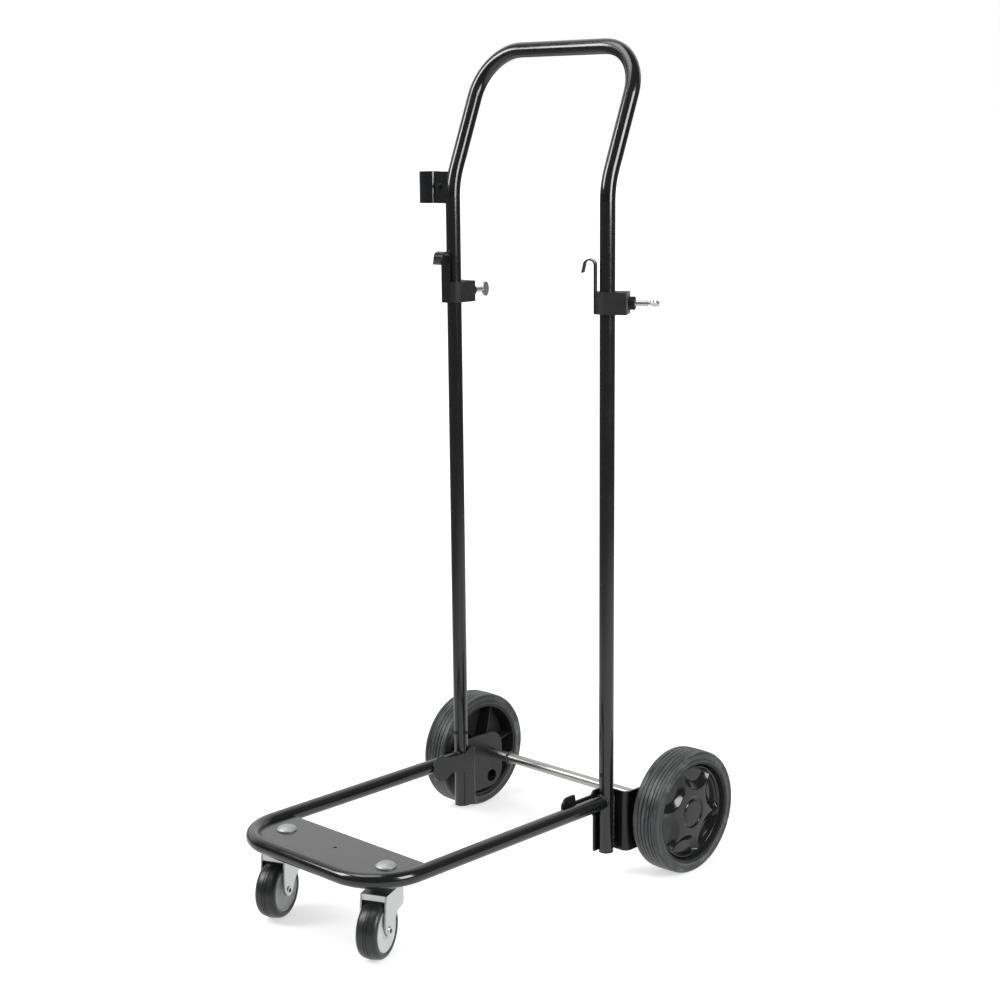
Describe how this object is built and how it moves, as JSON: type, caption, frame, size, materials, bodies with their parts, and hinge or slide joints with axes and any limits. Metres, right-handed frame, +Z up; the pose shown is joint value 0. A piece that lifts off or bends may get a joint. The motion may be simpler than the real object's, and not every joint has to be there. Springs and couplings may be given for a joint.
{
  "type": "hotel luggage cart",
  "caption": "Two-wheeled upright luggage cart with bent tube handle, low open tube base, front plate on swivel casters, sliding coat hook clamps and a pole socket.",
  "frame": {"origin": "on the floor under the middle of the cart's bounding box", "axes": "+X to the cart's right seen from behind the handle, -Y to the front where the casters are, +Z up"},
  "size_m": [0.4686, 0.6408, 1.1715],
  "materials": {
    "gloss_black_paint": "gloss black powder coat",
    "satin_black_paint": "satin black powder coat",
    "black_hardware": "black oxide",
    "black_plastic": "moulded, matt",
    "gloss_black_plastic": "moulded, gloss",
    "clamp_black": "matt black",
    "bright_steel": "bright drawn",
    "zinc_plate": "bright zinc plate",
    "plain_steel": "plain",
    "grey_plastic": "moulded, light grey",
    "tyre_rubber": "solid rubber, grooved",
    "caster_rubber": "solid rubber"
  },
  "bodies": {
    "frame": {"handle_frame": "gloss_black_paint", "upright_rivets": "black_hardware", "upright_plugs": "black_plastic", "base_frame": "gloss_black_paint", "front_plate": "gloss_black_paint", "bracket_left": "satin_black_paint", "bracket_right": "satin_black_paint", "axle": "bright_steel", "axle_spacers": "zinc_plate", "axle_retainers": "zinc_plate", "pole_socket": "gloss_black_paint", "socket_bolt": "black_hardware", "socket_nut": "black_hardware", "kingpin_left": "zinc_plate", "kingpin_right": "zinc_plate", "kingpin_nut_left": "zinc_plate", "kingpin_nut_right": "zinc_plate", "swivel_cup_left": "black_hardware", "swivel_cup_right": "black_hardware", "swivel_balls_left": "plain_steel", "swivel_balls_right": "plain_steel"},
    "rear_wheel_left": {"rear_tyre_left": "tyre_rubber", "rear_rim_left": "black_plastic", "rear_bush_left": "plain_steel", "rear_hubcap_left": "gloss_black_plastic"},
    "caster_swivel_left": {"caster_fork_left": "zinc_plate", "caster_axle_left": "zinc_plate"},
    "caster_wheel_left": {"caster_core_left": "grey_plastic", "caster_bush_left": "plain_steel", "caster_tyre_left": "caster_rubber"},
    "clamp_left": {"clamp_body_left": "clamp_black", "clamp_hook_left": "clamp_black", "clamp_plate_left": "zinc_plate", "clamp_knob_left": "black_hardware"},
    "thumb_screw_left": {"clamp_screw_left": "zinc_plate"},
    "rear_wheel_right": {"rear_tyre_right": "tyre_rubber", "rear_rim_right": "black_plastic", "rear_bush_right": "plain_steel", "rear_hubcap_right": "gloss_black_plastic"},
    "caster_swivel_right": {"caster_fork_right": "zinc_plate", "caster_axle_right": "zinc_plate"},
    "caster_wheel_right": {"caster_core_right": "grey_plastic", "caster_bush_right": "plain_steel", "caster_tyre_right": "caster_rubber"},
    "clamp_right": {"clamp_body_right": "clamp_black", "clamp_hook_right": "clamp_black", "clamp_plate_right": "zinc_plate", "clamp_knob_right": "black_hardware"},
    "thumb_screw_right": {"clamp_screw_right": "zinc_plate"}
  },
  "joints": [
    {"name": "rear_wheel_spin_left", "type": "hinge", "parent": "frame", "child": "rear_wheel_left", "pos_m": [-0.2123, 0.23042, 0.09], "axis": [1, 0, 0], "continuous": true},
    {"name": "caster_turn_left", "type": "hinge", "parent": "frame", "child": "caster_swivel_left", "pos_m": [-0.1, -0.24978, 0.09], "axis": [0, 0, 1], "continuous": true},
    {"name": "caster_spin_left", "type": "hinge", "parent": "caster_swivel_left", "child": "caster_wheel_left", "pos_m": [-0.08817, -0.28059, 0.04], "axis": [0.9336, 0.3584, 0], "continuous": true},
    {"name": "clamp_slide_left", "type": "slide", "parent": "frame", "child": "clamp_left", "axis": [0, 0, 1], "range_m": [-0.64, 0.1]},
    {"name": "thumb_screw_turn_left", "type": "hinge", "parent": "clamp_left", "child": "thumb_screw_left", "pos_m": [-0.14665, 0.13672, 0.822], "axis": [0, 1, 0], "range_deg": [0, 720]},
    {"name": "rear_wheel_spin_right", "type": "hinge", "parent": "frame", "child": "rear_wheel_right", "pos_m": [0.2123, 0.23042, 0.09], "axis": [1, 0, 0], "continuous": true},
    {"name": "caster_turn_right", "type": "hinge", "parent": "frame", "child": "caster_swivel_right", "pos_m": [0.1, -0.24978, 0.09], "axis": [0, 0, 1], "continuous": true},
    {"name": "caster_spin_right", "type": "hinge", "parent": "caster_swivel_right", "child": "caster_wheel_right", "pos_m": [0.11289, -0.28016, 0.04], "axis": [0.9205, 0.3907, 0], "continuous": true},
    {"name": "clamp_slide_right", "type": "slide", "parent": "frame", "child": "clamp_right", "axis": [0, 0, 1], "range_m": [-0.64, 0.1]},
    {"name": "thumb_screw_turn_right", "type": "hinge", "parent": "clamp_right", "child": "thumb_screw_right", "pos_m": [0.14665, 0.13672, 0.822], "axis": [0.866, 0.5, 0], "range_deg": [0, 720]}
  ]
}
